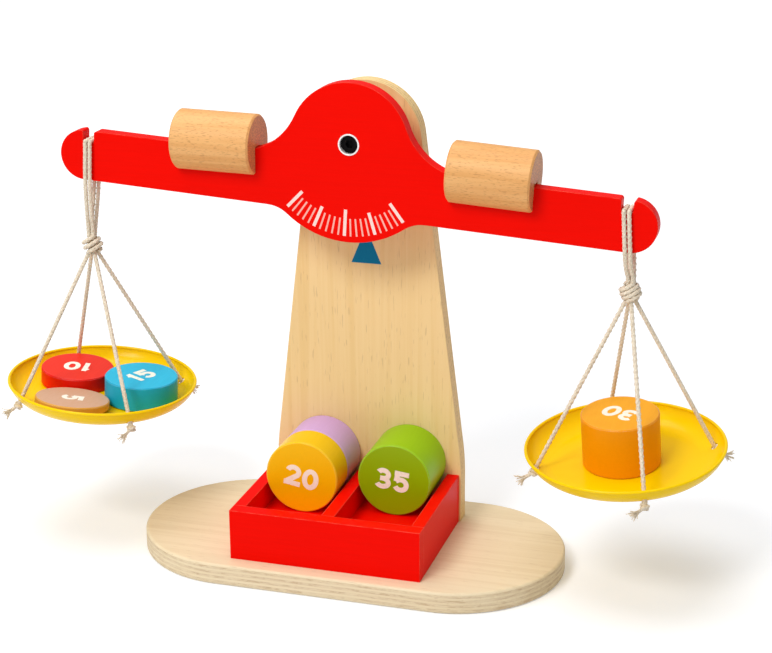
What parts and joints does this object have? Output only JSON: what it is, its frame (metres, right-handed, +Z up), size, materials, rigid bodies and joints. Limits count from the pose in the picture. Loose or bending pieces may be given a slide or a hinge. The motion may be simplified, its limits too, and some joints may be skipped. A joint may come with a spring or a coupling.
{
  "type": "toy balance scale",
  "caption": "Wooden toy balance scale with a red beam, yellow pans on cotton cords, beech counterweights and a tray of painted numbered weights",
  "frame": {"origin": "middle of the underside of the base board, on the table", "axes": "+X to the viewer's right along the beam, +Y away from the viewer, +Z up"},
  "size_m": [0.4103, 0.12, 0.2664],
  "materials": {
    "red_paint": "gloss red lacquer over wood",
    "birch_plywood": "clear matt lacquer, fine pale grain",
    "beech": "clear matt lacquer, flecked grain",
    "screw_steel": "zinc plated",
    "black_bolt": "black oxide",
    "bright_metal": "nickel plated",
    "cotton_cord": "twisted natural cotton",
    "yellow_enamel": "gloss yellow enamel on sheet steel",
    "paint_5": "gloss pale wood-coloured lacquer",
    "paint_10": "gloss red lacquer over wood",
    "paint_15": "gloss sky blue lacquer over wood",
    "paint_20": "gloss amber lacquer over wood",
    "paint_25": "gloss lilac lacquer over wood",
    "paint_30": "gloss orange lacquer over wood",
    "paint_35": "gloss lime green lacquer over wood"
  },
  "bodies": {
    "stand": {"base_board": "birch_plywood", "post": "birch_plywood", "tray_floor": "red_paint", "tray_front": "red_paint", "tray_left_side": "red_paint", "tray_right_side": "red_paint", "tray_divider": "red_paint", "base_screws": "screw_steel", "post_screws": "screw_steel", "pivot_bolt": "black_bolt", "pivot_spacer": "beech", "pivot_washer": "bright_metal", "pivot_nut": "bright_metal"},
    "beam": {"beam": "red_paint", "pivot_bush": "bright_metal"},
    "left_counterweight": {"left_counterweight": "beech"},
    "right_counterweight": {"right_counterweight": "beech"},
    "left_hanger": {"left_hanger_loop": "cotton_cord"},
    "right_hanger": {"right_hanger_loop": "cotton_cord"},
    "left_pan": {"left_pan": "yellow_enamel", "left_pan_cords": "cotton_cord"},
    "right_pan": {"right_pan": "yellow_enamel", "right_pan_cords": "cotton_cord"},
    "weight_5": {"weight_5": "paint_5"},
    "weight_10": {"weight_10": "paint_10"},
    "weight_15": {"weight_15": "paint_15"},
    "weight_20": {"weight_20": "paint_20"},
    "weight_25": {"weight_25": "paint_25"},
    "weight_30": {"weight_30": "paint_30"},
    "weight_35": {"weight_35": "paint_35"}
  },
  "joints": [
    {"name": "beam_tilt", "type": "hinge", "parent": "stand", "child": "beam", "pos_m": [0, 0.0056, 0.2334], "axis": [0, 1, 0], "range_deg": [-18.5, 14.5]},
    {"name": "left_counterweight_slide", "type": "slide", "parent": "beam", "child": "left_counterweight", "axis": [-0.9981, 0, 0.061], "range_m": [0, 0.046]},
    {"name": "right_counterweight_slide", "type": "slide", "parent": "beam", "child": "right_counterweight", "axis": [0.9981, 0, -0.061], "range_m": [0, 0.043]},
    {"name": "left_hanger_swing", "type": "hinge", "parent": "beam", "child": "left_hanger", "pos_m": [-0.14964, 0.0056, 0.22742], "axis": [0, 1, 0], "range_deg": [-14.5, 18.5]},
    {"name": "right_hanger_swing", "type": "hinge", "parent": "beam", "child": "right_hanger", "pos_m": [0.1478, 0.0056, 0.20923], "axis": [0, 1, 0], "range_deg": [-14.5, 18.5]},
    {"name": "left_pan_swing", "type": "hinge", "parent": "left_hanger", "child": "left_pan", "pos_m": [-0.15269, 0.0056, 0.16652], "axis": [1, 0, 0], "range_deg": [-8, 8]},
    {"name": "right_pan_swing", "type": "hinge", "parent": "right_hanger", "child": "right_pan", "pos_m": [0.15035, 0.0056, 0.16433], "axis": [1, 0, 0], "range_deg": [-8, 8]},
    {"name": "weight_5_lift", "type": "slide", "parent": "left_pan", "child": "weight_5", "axis": [0.0732, -0.0052, 0.9973], "range_m": [0, 0.012]},
    {"name": "weight_10_lift", "type": "slide", "parent": "left_pan", "child": "weight_10", "axis": [0.173, -0.1121, 0.9785], "range_m": [0, 0.004]},
    {"name": "weight_15_lift", "type": "slide", "parent": "left_pan", "child": "weight_15", "axis": [0.0732, -0.0052, 0.9973], "range_m": [0, 0.006]},
    {"name": "weight_30_lift", "type": "slide", "parent": "right_pan", "child": "weight_30", "axis": [-0.0521, -0.1011, 0.9935], "range_m": [0, 0.012]},
    {"name": "weight_20_lift", "type": "slide", "parent": "stand", "child": "weight_20", "axis": [0, 0, 1], "range_m": [0, 0.06]},
    {"name": "weight_25_lift", "type": "slide", "parent": "stand", "child": "weight_25", "axis": [0, 0, 1], "range_m": [0, 0.06]},
    {"name": "weight_35_lift", "type": "slide", "parent": "stand", "child": "weight_35", "axis": [0, 0, 1], "range_m": [0, 0.06]}
  ],
  "couplings": [
    {"joint": "left_hanger_swing", "follows": "beam_tilt", "ratio": -1},
    {"joint": "right_hanger_swing", "follows": "beam_tilt", "ratio": -1}
  ]
}
